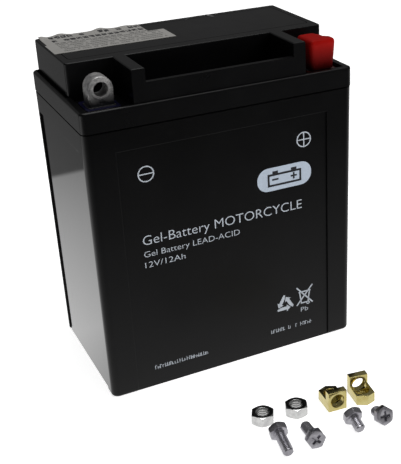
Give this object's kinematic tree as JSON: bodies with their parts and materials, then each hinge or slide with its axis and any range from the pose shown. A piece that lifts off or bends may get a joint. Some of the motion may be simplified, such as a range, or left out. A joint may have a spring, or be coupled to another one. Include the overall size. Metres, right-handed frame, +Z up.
{
  "type": "motorcycle battery",
  "caption": "Upright black lead battery with two front terminals, a red terminal cap and loose terminal screws, nuts and blocks.",
  "frame": {"origin": "middle of the case's underside, on the surface it stands on", "axes": "+X to the right along the front, +Y from the front to the rear, +Z up; the terminals are at the front, -Y"},
  "size_m": [0.134, 0.1613, 0.1611],
  "materials": {
    "case_plastic": "moulded black, glossy",
    "lid_plastic": "moulded black, satin",
    "red_vinyl": "soft red vinyl, satin",
    "terminal_lead": "cast lead, dull grey",
    "lead": "cast lead alloy",
    "negative_resin": "blue sealing resin",
    "positive_resin": "red sealing resin",
    "valve_rubber": "soft black rubber",
    "negative_plate": "pasted grid, spongy lead",
    "positive_plate": "pasted grid, lead dioxide",
    "glass_mat": "glass fibre mat",
    "gel": "silica gel electrolyte",
    "paper": "printed paper label",
    "zinc_bolt": "zinc plated steel",
    "bright_nut": "bright plated steel",
    "brass": "machined brass"
  },
  "bodies": {
    "root": {"case": "case_plastic", "lid": "lid_plastic", "valve_cover": "lid_plastic", "gel_fill": "gel", "partition_welds": "lead", "cell_1_negative_plates": "negative_plate", "cell_1_positive_plates": "positive_plate", "cell_1_separators": "glass_mat", "cell_1_straps": "lead", "cell_2_negative_plates": "negative_plate", "cell_2_positive_plates": "positive_plate", "cell_2_separators": "glass_mat", "cell_2_straps": "lead", "cell_3_negative_plates": "negative_plate", "cell_3_positive_plates": "positive_plate", "cell_3_separators": "glass_mat", "cell_3_straps": "lead", "cell_4_negative_plates": "negative_plate", "cell_4_positive_plates": "positive_plate", "cell_4_separators": "glass_mat", "cell_4_straps": "lead", "cell_5_negative_plates": "negative_plate", "cell_5_positive_plates": "positive_plate", "cell_5_separators": "glass_mat", "cell_5_straps": "lead", "cell_6_negative_plates": "negative_plate", "cell_6_positive_plates": "positive_plate", "cell_6_separators": "glass_mat", "cell_6_straps": "lead", "negative_terminal": "terminal_lead", "negative_terminal_seal": "negative_resin", "negative_bushing": "lead", "negative_post": "lead", "positive_terminal": "terminal_lead", "positive_terminal_seal": "positive_resin", "positive_bushing": "lead", "positive_post": "lead", "top_label": "paper", "label_scrap": "paper"},
    "terminal_cap": {"terminal_cap": "red_vinyl"},
    "valve_cap_1": {"valve_cap_1": "valve_rubber"},
    "valve_cap_2": {"valve_cap_2": "valve_rubber"},
    "valve_cap_3": {"valve_cap_3": "valve_rubber"},
    "valve_cap_4": {"valve_cap_4": "valve_rubber"},
    "valve_cap_5": {"valve_cap_5": "valve_rubber"},
    "valve_cap_6": {"valve_cap_6": "valve_rubber"},
    "nut_1": {"nut_1": "bright_nut"},
    "nut_2": {"nut_2": "bright_nut"},
    "long_bolt_1": {"long_bolt_1": "zinc_bolt"},
    "long_bolt_2": {"long_bolt_2": "zinc_bolt"},
    "short_bolt_1": {"short_bolt_1": "zinc_bolt"},
    "short_bolt_2": {"short_bolt_2": "zinc_bolt"},
    "terminal_block_1": {"terminal_block_1": "brass"},
    "terminal_block_2": {"terminal_block_2": "brass"}
  },
  "joints": [
    {"name": "terminal_cap_pull", "type": "slide", "parent": "root", "child": "terminal_cap", "axis": [0, 0, 1], "range_m": [0, 0.03]},
    {"name": "valve_1_lift", "type": "slide", "parent": "root", "child": "valve_cap_1", "axis": [0, 0, 1], "range_m": [0, 0.0006], "stiffness_N_per_m": 400, "springref_m": -0.0005},
    {"name": "valve_2_lift", "type": "slide", "parent": "root", "child": "valve_cap_2", "axis": [0, 0, 1], "range_m": [0, 0.0006], "stiffness_N_per_m": 400, "springref_m": -0.0005},
    {"name": "valve_3_lift", "type": "slide", "parent": "root", "child": "valve_cap_3", "axis": [0, 0, 1], "range_m": [0, 0.0006], "stiffness_N_per_m": 400, "springref_m": -0.0005},
    {"name": "valve_4_lift", "type": "slide", "parent": "root", "child": "valve_cap_4", "axis": [0, 0, 1], "range_m": [0, 0.0006], "stiffness_N_per_m": 400, "springref_m": -0.0005},
    {"name": "valve_5_lift", "type": "slide", "parent": "root", "child": "valve_cap_5", "axis": [0, 0, 1], "range_m": [0, 0.0006], "stiffness_N_per_m": 400, "springref_m": -0.0005},
    {"name": "valve_6_lift", "type": "slide", "parent": "root", "child": "valve_cap_6", "axis": [0, 0, 1], "range_m": [0, 0.0006], "stiffness_N_per_m": 400, "springref_m": -0.0005},
    {"name": "nut_1_lift", "type": "slide", "parent": "root", "child": "nut_1", "axis": [0, 0, 1], "range_m": [0, 0.05]},
    {"name": "nut_2_lift", "type": "slide", "parent": "root", "child": "nut_2", "axis": [0, 0, 1], "range_m": [0, 0.05]},
    {"name": "long_bolt_1_lift", "type": "slide", "parent": "root", "child": "long_bolt_1", "axis": [0, 0, 1], "range_m": [0, 0.05]},
    {"name": "long_bolt_2_lift", "type": "slide", "parent": "root", "child": "long_bolt_2", "axis": [0, 0, 1], "range_m": [0, 0.05]},
    {"name": "short_bolt_1_lift", "type": "slide", "parent": "root", "child": "short_bolt_1", "axis": [0, 0, 1], "range_m": [0, 0.05]},
    {"name": "short_bolt_2_lift", "type": "slide", "parent": "root", "child": "short_bolt_2", "axis": [0, 0, 1], "range_m": [0, 0.05]},
    {"name": "terminal_block_1_lift", "type": "slide", "parent": "root", "child": "terminal_block_1", "axis": [0, 0, 1], "range_m": [0, 0.05]},
    {"name": "terminal_block_2_lift", "type": "slide", "parent": "root", "child": "terminal_block_2", "axis": [0, 0, 1], "range_m": [0, 0.05]}
  ]
}
